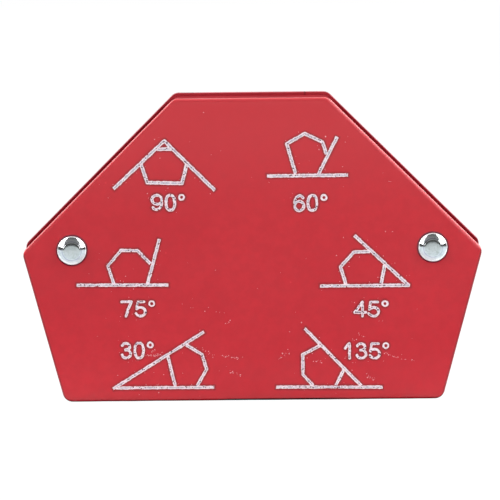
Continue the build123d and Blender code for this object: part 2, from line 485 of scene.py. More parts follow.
def rivet_profile(place):
    """Radius and y from the crown of the head to the bottom of the hollow."""
    head_r = place.head_r
    crown = FRONT_Y - place.head_y
    head = [(r, crown - drop) for r, drop in HEAD_CROWN]
    head += [(head_r - inset, crown - drop) for inset, drop in HEAD_RIM]
    profile = [(r, FRONT_Y - t) for r, t in smooth_curve(head, 5)]
    profile += [
        (head_r, FRONT_Y - 0.10),
        (head_r - 0.02, FRONT_Y - 0.02),
        (head_r - 0.08, FRONT_Y + 0.05),
        (2.35, FRONT_Y + 0.05),
        (SHANK_R, FRONT_Y + 0.12),
        (SHANK_R, 0.0),
        (SHANK_R, REAR_Y - 0.02),
    ]
    top = place.tail_y - REAR_Y
    tail = CLINCH_OUTSIDE + [(2.58, top - 0.06), (2.30, top), (2.02, top - 0.07)] + CLINCH_HOLLOW
    profile += [(r, REAR_Y + t) for r, t in smooth_curve(tail, 4)]
    return profile + [(r, REAR_Y - depth) for r, depth in HOLLOW_END]


def unevenness(r, y, a, head_r, seed):
    """Shift in radius and y at angle a: an uneven clinch and a faintly lumpy head."""
    if y > REAR_Y + 0.05 and r > 1.5:
        w = math.sin(3 * a + seed) * 0.025 + math.sin(7 * a + 2.1 * seed) * 0.018
        return w, 0.6 * w
    if y < FRONT_Y - 0.02:
        out = min(1.0, r / head_r)
        lump = float(noise2(np.cos(a) * r + seed * 7, np.sin(a) * r, 1.1, 31 + seed))
        return 0.006 * math.sin(2 * a + seed) * out, 0.0035 * lump * (1 - 0.6 * out)
    return 0.0, 0.0


def rivet(name, place, seed):
    """A set semi-tubular rivet: upset head with a struck flat, shank, and rolled clinch
    with its hollow."""
    n = RIVET_STEPS
    verts, faces, rows = [], [], []
    for r, y in rivet_profile(place):
        if r < 1e-6:
            rows.append([len(verts)])
            verts.append((place.x, y, place.z))
            continue
        rows.append(range(len(verts), len(verts) + n))
        for a in np.arange(n) * 2 * np.pi / n:
            dr, dy = unevenness(r, y, a, place.head_r, seed)
            x, z = (r + dr) * math.cos(a), (r + dr) * math.sin(a)
            verts.append((place.x + x, y + dy, place.z + z))
    for a, b in zip(rows, rows[1:]):
        for i in range(n):
            j = (i + 1) % n
            if len(a) == 1:
                faces.append((a[0], b[j], b[i]))
            elif len(b) == 1:
                faces.append((a[i], a[j], b[0]))
            else:
                faces.append((a[i], a[j], b[j], b[i]))
    return closed_object(name, verts, faces, sharp_above=50)


# ----------------------------------------------------------------- printed marks
# line_half, digit_half: half widths of the strokes
# degree: x, z and outer radius of the degree ring
# digits: character, x from and to, z from and to
# lines: polylines of the diagram, as x, z
Mark = namedtuple("Mark", "line_half digit_half degree digits lines")
RING_HOLE = 0.38
MARKS = [
    Mark(
        0.428, 0.350, (-17.13, 50.44, 0.85),
        [("9", -24.69, -21.62, 47.12, 51.37), ("0", -21.31, -18.49, 46.95, 51.32)],
        [
            [(-33.71, 52.65), (-21.20, 64.33), (-8.99, 52.06)],
            [(-22.93, 62.31), (-19.44, 62.34)],
            [(-26.93, 58.66), (-25.43, 54.14), (-16.97, 53.87), (-15.78, 58.56)],
        ],
    ),
    Mark(
        0.409, 0.350, (17.58, 50.07, 0.87),
        [("6", 10.09, 12.99, 46.55, 50.94), ("0", 13.33, 16.19, 46.58, 50.96)],
        [
            [(3.72, 55.48), (23.48, 55.54)],
            [(10.71, 55.96), (8.65, 63.33), (12.98, 65.79), (17.33, 63.71), (18.28, 60.67)],
            [(16.24, 55.71), (20.89, 64.90)],
        ],
    ),
    Mark(
        0.392, 0.312, (-24.78, 24.27, 0.81),
        [("7", -32.42, -29.37, 20.85, 25.11), ("5", -28.97, -26.07, 20.87, 25.05)],
        [
            [(-43.10, 29.00), (-20.57, 28.82)],
            [(-33.99, 29.26), (-35.37, 33.69), (-32.09, 37.49), (-28.10, 37.42), (-24.92, 34.14)],
            [(-25.71, 29.14), (-22.69, 40.23)],
        ],
    ),
    Mark(
        0.409, 0.318, (32.33, 23.74, 0.86),
        [("4", 24.61, 27.93, 20.37, 24.51), ("5", 28.01, 31.08, 20.34, 24.47)],
        [
            [(16.44, 28.23), (38.48, 28.23)],
            [(24.92, 40.70), (37.88, 28.42)],
            [(22.80, 28.68), (21.50, 32.93), (24.86, 36.59), (28.77, 36.65)],
            [(32.37, 33.40), (31.39, 28.60)],
        ],
    ),
    Mark(
        0.382, 0.326, (-25.25, 14.01, 0.84),
        [("3", -32.57, -29.74, 10.50, 14.83), ("0", -29.35, -26.61, 10.47, 14.84)],
        [
            [(-33.94, 3.38), (-9.65, 3.32)],
            [(-34.54, 3.14), (-12.03, 17.16)],
            [(-20.96, 11.21), (-19.25, 3.72)],
            [(-16.45, 13.92), (-12.62, 11.60), (-11.50, 7.79), (-13.94, 3.60)],
        ],
    ),
    Mark(
        0.388, 0.315, (32.48, 13.32, 0.85),
        [
            ("1", 22.22, 24.01, 9.92, 14.26),
            ("3", 25.06, 27.92, 9.93, 14.17),
            ("5", 28.23, 31.24, 9.90, 14.12),
        ],
        [
            [(5.52, 3.26), (31.61, 2.99)],
            [(12.58, 17.77), (26.42, 3.39)],
            [(16.22, 13.39), (12.08, 11.23), (12.10, 6.32), (14.63, 3.53)],
            [(22.10, 7.35), (20.14, 3.49)],
        ],
    ),
]


def arc(cx, cz, rx, rz, a0, a1, n=14, power=2.0):
    out = []
    for k in range(n + 1):
        t = math.radians(a0 + (a1 - a0) * k / n)
        c, s = math.cos(t), math.sin(t)
        x = cx + rx * math.copysign(abs(c) ** (2 / power), c)
        out.append((x, cz + rz * math.copysign(abs(s) ** (2 / power), s)))
    return out


# Centre lines of the numerals in a unit box
STROKES = {
    "0": [arc(0.5, 0.5, 0.5, 0.5, 0, 360, 32, 2.35)],
    "1": [[(0.0, 0.68), (0.82, 1.0), (0.90, 0.97), (0.90, 0.0)]],
    "3": [
        arc(0.47, 0.765, 0.42, 0.235, 160, -50, 16) + [(0.52, 0.565), (0.40, 0.555)],
        [(0.40, 0.545), (0.55, 0.545)] + arc(0.50, 0.275, 0.50, 0.275, 62, -166, 20),
    ],
    "4": [[(0.68, 1.0), (0.0, 0.27), (1.0, 0.27)], [(0.70, 1.0), (0.70, 0.0)]],
    "5": [[(0.90, 1.0), (0.20, 1.0), (0.07, 0.48)] + arc(0.49, 0.31, 0.51, 0.31, 140, -160, 22)],
    "6": [
        arc(0.5, 0.31, 0.5, 0.31, 0, 360, 28),
        arc(0.60, 0.50, 0.60, 0.50, 180, 95) + arc(0.55, 0.76, 0.40, 0.24, 88, 22, 8),
    ],
    "7": [[(0.0, 1.0), (1.0, 1.0), (0.66, 0.52), (0.42, 0.0)]],
    "9": [
        arc(0.5, 0.69, 0.5, 0.31, 0, 360, 28),
        arc(0.40, 0.50, 0.60, 0.50, 0, -85) + arc(0.45, 0.24, 0.40, 0.24, -92, -158, 8),
    ],
}


def digit_lines(mark):
    """Centre lines of the mark's numerals, in place."""
    half = mark.digit_half
    return [
        [
            (x0 + half + u * (x1 - x0 - 2 * half), z0 + half + v * (z1 - z0 - 2 * half))
            for u, v in line
        ]
        for char, x0, x1, z0, z1 in mark.digits
        for line in STROKES[char]
    ]


def to_segment(x, z, a, b):
    """Distance to a segment, and how far past its end b the point lies."""
    ax, az = a
    ux, uz = b[0] - ax, b[1] - az
    length = math.hypot(ux, uz) + 1e-9
    ux, uz = ux / length, uz / length
    t = (x - ax) * ux + (z - az) * uz
    aside = (x - ax) * -uz + (z - az) * ux
    return np.hypot(t - np.clip(t, 0, length), aside), t - length


def stroke(x, z, points, half, square):
    """Signed distance to a line of this half width, with free ends cut square or round."""
    best = np.full(x.shape, 1e9)
    for k, (a, b) in enumerate(zip(points, points[1:])):
        d, past_b = to_segment(x, z, a, b)
        d = d - half
        if square and k == len(points) - 2:
            d = np.maximum(d, past_b)
        if square and k == 0:
            d = np.maximum(d, to_segment(x, z, b, a)[1])
        best = np.minimum(best, d)
    return best


def signed(mark, x, z):
    """Distance to the whole mark, negative in the ink, before the print's roughness."""
    best = np.full(x.shape, 1e9)
    for line in mark.lines:
        best = np.minimum(best, stroke(x, z, line, mark.line_half, True))
    for line in digit_lines(mark):
        best = np.minimum(best, stroke(x, z, line, mark.digit_half, False))
    cx, cz, r = mark.degree
    middle, half = (r + RING_HOLE) / 2, (r - RING_HOLE) / 2
    return np.minimum(best, np.abs(np.hypot(x - cx, z - cz) - middle) - half)


def centre_points(mark, first=0.6, step=0.45):
    """Points every so often along every stroke, for the pinholes."""
    out = []
    for line in mark.lines + digit_lines(mark):
        t = first
        for a, b in zip(line, line[1:]):
            length = math.hypot(b[0] - a[0], b[1] - a[1])
            while t < length:
                x = a[0] + (b[0] - a[0]) * t / length
                out.append((x, a[1] + (b[1] - a[1]) * t / length))
                t += step
            t -= length
    return out


# ----------------------------------------------------------------- ink films
# Contour crossings of a grid cell. The key adds 1, 2, 4 and 8 for the corners in the ink,
# from the lower left counter-clockwise. Each pair of sides is one segment, ink on its left.
CROSSINGS = {
    1: ["BL"], 2: ["RB"], 4: ["TR"], 8: ["LT"], 3: ["RL"], 6: ["TB"], 12: ["LR"],
    9: ["BT"], 5: ["BL", "TR"], 10: ["RB", "LT"], 14: ["LB"], 13: ["BR"], 11: ["RT"], 7: ["TL"],
}
PITCH = 0.10
Patch = namedtuple("Patch", "x0 z0 pitch x z")


def patch_of(mark, pitch, pad):
    """A grid round one mark: its corner, pitch, and the x and z of every point."""
    xs = [p[0] for line in mark.lines for p in line]
    xs += [x for digit in mark.digits for x in digit[1:3]] + [mark.degree[0] + 1]
    zs = [p[1] for line in mark.lines for p in line]
    zs += [z for digit in mark.digits for z in digit[3:5]]
    x0, x1, z0, z1 = min(xs) - pad, max(xs) + pad, min(zs) - pad, max(zs) + pad
    x, z = np.meshgrid(np.arange(x0, x1, pitch), np.arange(z0, z1, pitch), indexing="ij")
    return Patch(x0, z0, pitch, x, z)


def march(field, patch):
    """Contour of field = 0: points, directed segments, and a test for being in the ink."""
    x0, z0, pitch = patch[:3]
    inside = field < 0
    ids, points = {}, []

    def cut(i, j, k, l):
        key = (i, j, k, l)
        if key not in ids:
            a, b = field[i, j], field[k, l]
            t = min(max(a / (a - b), 0.1), 0.9)
            ids[key] = len(points)
            points.append((x0 + (i + (k - i) * t) * pitch, z0 + (j + (l - j) * t) * pitch))
        return ids[key]

    mixed = inside[:-1, :-1] + inside[1:, :-1] * 2 + inside[1:, 1:] * 4 + inside[:-1, 1:] * 8
    cells, segments = {}, []
    for i, j in zip(*np.nonzero((mixed > 0) & (mixed < 15))):
        i, j = int(i), int(j)
        sides = {
            "B": (i, j, i + 1, j),
            "R": (i + 1, j, i + 1, j + 1),
            "T": (i, j + 1, i + 1, j + 1),
            "L": (i, j, i, j + 1),
        }
        made = [(cut(*sides[a]), cut(*sides[b])) for a, b in CROSSINGS[int(mixed[i, j])]]
        segments += made
        cells[(i, j)] = made

    def within(p):
        out = np.zeros(len(p), bool)
        ci = np.clip(((p[:, 0] - x0) / pitch).astype(int), 0, field.shape[0] - 2)
        cj = np.clip(((p[:, 1] - z0) / pitch).astype(int), 0, field.shape[1] - 2)
        for k in range(len(p)):
            corners = mixed[ci[k], cj[k]]
            if corners == 15:
                out[k] = True
            elif corners:
                for a, b in cells[(int(ci[k]), int(cj[k]))]:
                    ax, az = points[a]
                    bx, bz = points[b]
                    if (bx - ax) * (p[k, 1] - az) - (bz - az) * (p[k, 0] - ax) > 0:
                        out[k] = True
        return out

    return points, segments, within


def ink_sheet(field, patch, height, y_face=FRONT_Y):
    """A closed film of this height standing on y_face, where the field is negative."""
    flat, triangles, _ = triangulate(*march(field, patch))
    n = len(flat)
    verts = [(x, y_face - height, z) for x, z in flat]
    verts += [(x, y_face + 0.006, z) for x, z in flat]
    triangles = [tuple(int(i) for i in t) for t in triangles]
    faces = triangles + [(c + n, b + n, a + n) for a, b, c in triangles]
    border = {}
    for a, b, c in triangles:
        for edge in ((a, b), (b, c), (c, a)):
            if edge[::-1] in border:
                del border[edge[::-1]]
            else:
                border[edge] = True
    faces += [(a, a + n, b + n, b) for a, b in border]
    return verts, faces


def punch_pinholes(rng, mark, patch, pinholes):
    """A field that is positive in the mark's pinholes. Adds each hole to pinholes."""
    holes = np.full(patch.x.shape, -1.0)
    for x, z in centre_points(mark):
        if rng.rand() >= 0.50:
            continue
        r = 0.08 + 0.11 * rng.rand() ** 1.4
        x, z = x + rng.normal(0, 0.10), z + rng.normal(0, 0.10)
        i0, i1 = int((x - r - patch.x0) / PITCH) - 2, int((x + r - patch.x0) / PITCH) + 4
        j0, j1 = int((z - r - patch.z0) / PITCH) - 2, int((z + r - patch.z0) / PITCH) + 4
        part = (slice(max(i0, 0), i1), slice(max(j0, 0), j1))
        stretch = 1 + 0.5 * rng.rand()
        hole = r - np.hypot((patch.x[part] - x) / stretch, patch.z[part] - z)
        holes[part] = np.maximum(holes[part], hole)
        pinholes.append((x, z, r * stretch, r))
    return holes


def printed_marks():
    """The six diagrams and their numbers: a film of ink with ragged edges and pinholes,
    the greyer streaks along the middle of the lines, and the list of pinholes."""
    rng = np.random.RandomState(4711)
    film, middle, pinholes = [], [], []
    for index, mark in enumerate(MARKS):
        patch = patch_of(mark, PITCH, pad=1.2)

        def grain(size, seed):
            return noise2(patch.x, patch.z, size, seed + index)

        clean = signed(mark, patch.x, patch.z)
        rough = 0.060 * grain(0.55, 100) + 0.045 * grain(0.26, 200)
        worn = np.clip(grain(3.2, 300) - 0.25, 0, 1) * 0.10
        holes = punch_pinholes(rng, mark, patch, pinholes)
        inked = np.maximum(clean + rough + worn + 0.004, holes)
        film.append(ink_sheet(inked, patch, height=0.034))
        streak = clean + 0.27 + 0.13 * grain(0.9, 400) + 0.07 * grain(0.33, 500)
        streak = np.maximum(streak, holes + 0.05)
        middle.append(ink_sheet(streak, patch, height=0.012, y_face=FRONT_Y - 0.032))
    marks = new_object("printed_marks", *join(film))
    streaks = new_object("print_streaks", *join(middle))
    return marks, streaks, pinholes


def creep(name, out, height, seed):
    """The dark margin where the ink's binder has crept into the paint round the marks."""
    parts = []
    for index, mark in enumerate(MARKS):
        patch = patch_of(mark, PITCH * 2, pad=1.6)
        ragged = 0.07 * noise2(patch.x, patch.z, 0.8, seed + index)
        field = signed(mark, patch.x, patch.z) - out + ragged
        parts.append(ink_sheet(field, patch, height))
    return new_object(name, *join(parts))


def dried_dots(pinholes, n=10, overlap=1.12):
    """Dark dried ink standing in the pinholes, lower than the print."""
    parts = []
    turns = [2 * math.pi * i / n for i in range(n)]
    faces = [tuple(range(n)), tuple(range(2 * n - 1, n - 1, -1))]
    faces += [(i, n + i, n + (i + 1) % n, (i + 1) % n) for i in range(n)]
    for x, z, rx, rz in pinholes:
        ring = [
            (x + rx * overlap * math.cos(a), z + rz * overlap * math.sin(a)) for a in turns
        ]
        verts = [(px, FRONT_Y + lift, pz) for lift in (0.005, -0.026) for px, pz in ring]
        parts.append((verts, faces))
    return closed_object("print_pinholes", *join(parts), smooth=False)


# ----------------------------------------------------------------- ink specks
# Single overspray dots: x, z, radius
LONE_DOTS = [
    (7.14, 11.59, 0.17), (18.07, 65.04, 0.16), (11.86, 19.24, 0.16), (27.94, 5.42, 0.16),
    (-5.37, 10.71, 0.13), (15.46, 9.52, 0.13), (14.73, 9.53, 0.12), (32.14, 11.35, 0.12),
    (27.02, 15.62, 0.13), (20.54, 35.75, 0.12), (-4.14, 10.70, 0.12), (25.30, 14.90, 0.12),
    (32.54, 41.56, 0.12), (-23.55, 64.70, 0.11), (24.87, 24.08, 0.11), (-25.43, 51.46, 0.11),
    (-5.16, 7.22, 0.11), (-11.55, 71.20, 0.11), (-6.75, 19.17, 0.11), (-10.99, 12.25, 0.11),
    (-32.44, 21.15, 0.10), (22.28, 40.17, 0.10), (34.25, 41.54, 0.10),
]
# Dragged smears: start, end, number of dots, spread
SMEARS = [
    ((-26.13, 11.31), (-22.63, 11.51), 48, 0.32),
    ((-25.13, 12.11), (-24.04, 12.81), 10, 0.16),
    ((6.22, 10.26), (8.20, 11.66), 14, 0.18),
    ((8.47, 11.16), (9.07, 11.86), 5, 0.14),
    ((14.78, 9.57), (16.58, 9.37), 14, 0.28),
    ((32.58, 11.39), (35.28, 10.20), 18, 0.16),
    ((35.48, 10.30), (39.09, 9.51), 9, 0.30),
    ((-8.23, 11.23), (-3.33, 10.44), 30, 0.26),
    ((-13.14, 13.22), (-9.53, 10.83), 12, 0.5),
    ((-5.92, 7.25), (-2.92, 6.25), 12, 0.35),
    ((26.88, 6.50), (29.48, 5.10), 12, 0.5),
    ((25.48, 16.47), (27.98, 15.08), 8, 0.25),
    ((-16.46, 23.80), (-4.95, 21.32), 9, 0.9),
    ((-6.45, 19.22), (-5.55, 19.82), 4, 0.2),
]


def scatter_dots(rng):
    """Every dot tried, as x, z, radius: beside the lines and numerals, anywhere, smears."""
    dots = list(LONE_DOTS)

    def size(spread):
        return 0.04 + spread * rng.rand() ** 2

    for mark in MARKS:
        for line in mark.lines:
            for a, b in zip(line, line[1:]):
                length = math.hypot(b[0] - a[0], b[1] - a[1])
                ux, uz = (b[0] - a[0]) / length, (b[1] - a[1]) / length
                for _ in range(int(length * 0.42)):
                    t = rng.rand()
                    off = rng.normal(0, 1.2)
                    if abs(off) < 0.6:
                        off = math.copysign(0.6 + rng.rand() * 0.5, off)
                    x = a[0] + ux * t * length - uz * off
                    dots.append((x, a[1] + uz * t * length + ux * off, size(0.07)))
        for _, x0, x1, z0, z1 in mark.digits:
            for _ in range(5):
                x, z = rng.uniform(x0 - 0.8, x1 + 0.8), rng.uniform(z0 - 0.9, z1 + 0.9)
                dots.append((x, z, size(0.06)))
    for _ in range(55):
        dots.append((rng.uniform(-40, 42), rng.uniform(4, 66), size(0.06)))
    for a, b, count, spread in SMEARS:
        for _ in range(count):
            t = rng.rand()
            x = a[0] + (b[0] - a[0]) * t + rng.normal(0, spread * 0.5)
            z = a[1] + (b[1] - a[1]) * t + rng.normal(0, spread * 0.5)
            dots.append((x, z, 0.05 + 0.09 * rng.rand() ** 2))
    return dots


def has_room(x, z, r, taken):
    """Whether a dot is on the plate and clear of other dots, rivets and marks."""
    if not (0.8 < z < HEIGHT - 1.5) or abs(x) > 50:
        return False
    if any((x - tx) ** 2 + (z - tz) ** 2 < (r + tr + 0.03) ** 2 for tx, tz, tr in taken):
        return False
    if any(math.hypot(x - rivet.x, z - rivet.z) < 4.2 for rivet in RIVETS):
        return False
    here = np.array([x]), np.array([z])
    return all(float(signed(mark, *here)[0]) >= r + 0.16 for mark in MARKS)


def speck(rng, x, z, r, n=9, height=0.026):
    """A low ragged island of ink."""
    turn = rng.rand() * 6.28
    ring = []
    for i in range(n):
        a = turn + i * 2 * math.pi / n
        rr = r * (1 + 0.28 * (rng.rand() - 0.5))
        ring.append((x + rr * math.cos(a) * (1 + 0.3 * rng.rand()), z + rr * math.sin(a)))
    verts = [(px, FRONT_Y + 0.005, pz) for px, pz in ring]
    shoulder = FRONT_Y - height * 0.6
    verts += [(x + (px - x) * 0.82, shoulder, z + (pz - z) * 0.82) for px, pz in ring]
    verts += [(x, FRONT_Y - height, z), (x, FRONT_Y + 0.005, z)]
    faces = []
    for i in range(n):
        j = (i + 1) % n
        faces += [(i, j, n + j, n + i), (n + i, n + j, 2 * n), (j, i, 2 * n + 1)]
    return verts, faces


def specks():
    """Overspray dots round the marks, and the dragged smears."""
    rng = np.random.RandomState(90210)
    parts, taken = [], []
    for dot in scatter_dots(rng):
        if has_room(*dot, taken):
            taken.append(dot)
            parts.append(speck(rng, *dot))
    return closed_object("ink_specks", *join(parts))


# ----------------------------------------------------------------- shader nodes
class Value:
    """A node's output that takes arithmetic. Each operation adds a node."""

    def __init__(self, nodes, socket):
        self.nodes, self.socket = nodes, socket

    def __add__(self, other):
        return self.nodes.math("ADD", self, other)

    def __sub__(self, other):
        return self.nodes.math("SUBTRACT", self, other)

    def __rsub__(self, other):
        return self.nodes.math("SUBTRACT", other, self)

    def __mul__(self, other):
        return self.nodes.math("MULTIPLY", self, other)

    def __abs__(self):
        return self.nodes.math("ABSOLUTE", self)

    def ramp(self, over, to=(0, 1)):
        """A smooth step between two levels as the value crosses a range."""
        (lo, hi), (a, b) = over, to
        node = self.nodes.add(
            "MapRange", Value=self, From_Min=lo, From_Max=hi, To_Min=a, To_Max=b
        )
        node.interpolation_type = "SMOOTHSTEP"
        return Value(self.nodes, node.outputs["Result"])

    def fall(self, over):
        return self.ramp(over, to=(1, 0))


class Nodes:
    """The node tree of a material or world, emptied but for its output."""

    def __init__(self, owner, output):
        owner.use_nodes = True
        self.tree = owner.node_tree
        self.tree.nodes.clear()
        self.output = self.add(output)

    def put(self, socket, value):
        """Links or sets an input. A node stands for its first output."""
        if isinstance(value, Value):
            value = value.socket
        if isinstance(value, bpy.types.Node):
            value = value.outputs[0]
        if isinstance(value, bpy.types.NodeSocket):
            self.tree.links.new(value, socket)
        elif socket.type == "RGBA":
            socket.default_value = (*value, 1.0)
        else:
            socket.default_value = value

    def add(self, kind, *first, **named):
        """A node with its first inputs by order and others by name, _ for a space."""
        node = self.tree.nodes.new("ShaderNode" + kind)
        for i, value in enumerate(first):
            self.put(node.inputs[i], value)
        for key, value in named.items():
            self.put(node.inputs[key.replace("_", " ")], value)
        return node

    def math(self, operation, *terms):
        node = self.add("Math", *terms)
        node.operation = operation
        return Value(self, node.outputs[0])

    def mix(self, colour, other, by):
        node = self.add("Mix")
        node.data_type = "RGBA"
        for key, value in (("Factor", by), (6, colour), (7, other)):
            self.put(node.inputs[key], value)
        return Value(self, node.outputs[2])

    def split(self, vector):
        node = self.add("SeparateXYZ", vector)
        return [Value(self, socket) for socket in node.outputs]


class Surface(Nodes):
    """A material whose textures lie in the object's own space, in mm."""

    def __init__(self, name):
        self.material = bpy.data.materials.new(name)
        super().__init__(self.material, "OutputMaterial")
        own = self.add("TexCoord").outputs["Object"]
        self.point = self.add("Mapping", Vector=own, Scale=(1 / MM,) * 3)

    def noise(self, per_mm, detail=2.0, rough=0.5, distortion=0.0, stretch=None):
        point = self.point
        if stretch:
            point = self.add("Mapping", Vector=point, Scale=stretch)
        node = self.add(
            "TexNoise",
            Vector=point,
            Scale=per_mm,
            Detail=detail,
            Roughness=rough,
            Distortion=distortion,
        )
        return Value(self, node.outputs["Fac"])

    def spots(self, per_mm, over):
        """1 in small dots of a scattered pattern, 0 elsewhere."""
        node = self.add("TexVoronoi", Vector=self.point, Scale=per_mm)
        return Value(self, node.outputs["Distance"]).fall(over)

    def bump(self, height, depth, strength, **under):
        """Relief of this depth in mm, over another normal if one is given."""
        return self.add("Bump", Height=height, Distance=depth * MM, Strength=strength, **under)

    def finish(self, shader):
        self.put(self.output.inputs[0], shader)
        return self.material

    def principled(self, **inputs):
        return self.finish(self.add("BsdfPrincipled", **inputs))


def scaled(colour, factor, lift=0.0):
    return tuple(c * factor + lift for c in colour)


def rivet_radius(mat, x, z):
    """Distance from the axis of the nearer rivet."""
    dx = abs(x) - abs(LEFT_RIVET.x)
    dz = z - LEFT_RIVET.z
    return mat.math("SQRT", dx * dx + dz * dz)


# ----------------------------------------------------------------- enamel
RED, DEEP_RED = (0.584, 0.0096, 0.0206), (0.556, 0.0073, 0.0182)
OVER_SHADE = (18.5, 23.0)  # range of distance from x = 0 where painted shade darkens the slot


def sprayed_red(mat, base, deep, z, nibs):
    """Slow drift and mottle in the red, a painted sheen growing towards the top, with paler dust
    nibs.
    """
    drift = mat.noise(per_mm=0.035).ramp(over=(0.35, 0.65))
    colour = mat.mix(base, deep, by=drift)
    mottle = mat.noise(per_mm=0.45, detail=4, rough=0.6).ramp(over=(0.3, 0.7), to=(0, 0.5))
    colour = mat.mix(colour, scaled(deep, 0.87), by=mottle)
    # painted sheen: the red lifted in green and blue towards the top, standing in for reflection
    painted_top_sheen = (base[0] * 1.02 + 0.004, base[1] + 0.033, base[2] + 0.031)
    colour = mat.mix(colour, painted_top_sheen, by=z.ramp(over=(40, 74)) * 0.75)
    return mat.mix(colour, scaled(base, 1.25, lift=0.02), by=nibs * 0.5)


def painted_rim_light(mat, colour, x, normal, turned):
    """Painted highlight and shade on the rolled rim: pale facing up, paler on the right and the
    top, dark facing down.
    """
    # painted highlight where the rim faces up, strongest on the right slope and the top edge;
    # painted shade where it faces down
    upward = normal[2].ramp(over=(0.05, 0.38))
    rightward = normal[0].ramp(over=(-0.3, 0.4))
    thin = mat.mix((0.475, 0.062, 0.066), (0.545, 0.078, 0.086), by=rightward)
    crown = abs(x).fall(over=(TOP_HALF - 1.5, TOP_HALF + 0.5))
    thin = mat.mix(thin, (0.430, 0.102, 0.106), by=crown)
    thin = mat.mix((0.20, 0.007, 0.012), thin, by=upward)
    patchy = mat.noise(per_mm=0.5, detail=4, rough=0.6).ramp(over=(0.25, 0.6), to=(0.78, 1))
    return mat.mix(colour, thin, by=turned * patchy)


def rim_tones(mat, colour, x, y, z, turned):
    """Painted highlight as a pale line inside the upper rim; painted shade as dark lines inside
    the lower sides, and a painted shadow at the foot.

    Also returns the distance from the upper edges.
    """
    side = abs(x)
    from_slope = (HALF_WIDTH + SIDE_Z - side - z) * math.sqrt(0.5)
    from_top = mat.math("MINIMUM", from_slope, HEIGHT - z)
    from_low = (z * math.tan(LEAN) + BOTTOM_HALF - side) * math.cos(LEAN)
    wander = mat.noise(per_mm=0.35, detail=3) * 0.22
    # painted highlight: a pale line inside the upper edges, paler on the right slope
    glow = (from_top + wander).fall(over=(0.42, 1.08)) * (1 - turned)
    right_slope = x.ramp(over=(TOP_HALF - 1.5, TOP_HALF + 1.0))
    pale = mat.mix((0.56, 0.046, 0.056), (0.68, 0.105, 0.120), by=right_slope)
    colour = mat.mix(colour, pale, by=glow * abs(y).ramp(over=(7.25, 7.35)))
    # painted shade: a dark line inside the lower sides
    below = z.fall(over=(SIDE_Z - 0.5, SIDE_Z + 1.6))
    dusk = (from_low + wander).fall(over=(0.35, 0.80)) * below
    colour = mat.mix(colour, (0.30, 0.009, 0.016), by=dusk)
    # painted contact shadow: near black along the middle of the bottom edge
    foot = x.ramp(over=(-12, -3)) * x.fall(over=(15, 27))
    uneven = z + mat.noise(per_mm=0.9, detail=3) * 0.12
    colour = mat.mix(colour, (0.022, 0.004, 0.006), by=foot * uneven.fall(over=(0.36, 0.66)))
    return colour, from_top


def slot_and_rear_tones(mat, colour, deep, x, y, z, up, turned, far, within, from_top):
    """Dull inner faces and sheared land with painted shade, the rear plate's rims with painted
    light, a grey patch and a dark run.
    """
    shade = abs(x).ramp(over=OVER_SHADE)
    # dull thin coat inside the sandwich, with painted shade that deepens it on the slopes
    dull = mat.mix(
        (deep[0] * 0.76, deep[1] * 0.74 + 0.022, deep[2] * 0.74 + 0.026),
        (deep[0] * 0.47, deep[1] * 0.46 + 0.003, deep[2] * 0.46 + 0.004),
        by=shade,
    )
    patchy = mat.noise(per_mm=0.5, detail=4).ramp(over=(0.2, 0.6), to=(0.75, 1))
    colour = mat.mix(colour, dull, by=within * patchy)
    # painted light: a pale lip along the rear plate's upper edges
    lip = from_top + mat.noise(per_mm=0.6, detail=3) * 0.10
    lip = lip.ramp(over=(0.12, 0.46), to=(0.85, 0)) * y.ramp(over=(5.9, 6.0))
    pale = mat.mix((0.46, 0.058, 0.074), (0.50, 0.066, 0.094), by=shade)
    colour = mat.mix(colour, pale, by=lip)
    # painted shade on the sheared land
    sheared = far.fall(over=(6.95, 7.15)) * (1 - within)
    patchy = mat.noise(per_mm=0.6, detail=4).ramp(over=(0.3, 0.65), to=(0.6, 1))
    colour = mat.mix(colour, (0.235, 0.018, 0.028), by=sheared * patchy)
    # painted highlight on the rear plate's rim, strongest where it faces up
    rim = y.ramp(over=(6.14, 6.3)) * turned * up.ramp(over=(0.1, 0.4), to=(0.35, 1))
    colour = mat.mix(colour, (0.345, 0.055, 0.082), by=rim * 0.9)
    # grey patch on the rear plate's top
    rear_top = y.ramp(over=(6.4, 6.6)) * z.ramp(over=(HEIGHT - 0.50, HEIGHT - 0.22))
    grey_patch = x.ramp(over=(-19, -17)) * x.fall(over=(-12.5, -10.5)) * rear_top
    grey_patch = grey_patch * mat.noise(per_mm=0.8, detail=3).ramp(over=(0.3, 0.55), to=(0.5, 1))
    colour = mat.mix(colour, (0.155, 0.135, 0.135), by=grey_patch)
    # narrow dark run on the rear plate's top
    at_top = y.ramp(over=(5.9, 6.1)) * z.ramp(over=(HEIGHT - 1.1, HEIGHT - 0.8))
    run = abs(x - 13.25).fall(over=(0.12, 0.30)) * at_top
    return mat.mix(colour, (0.075, 0.005, 0.010), by=run)


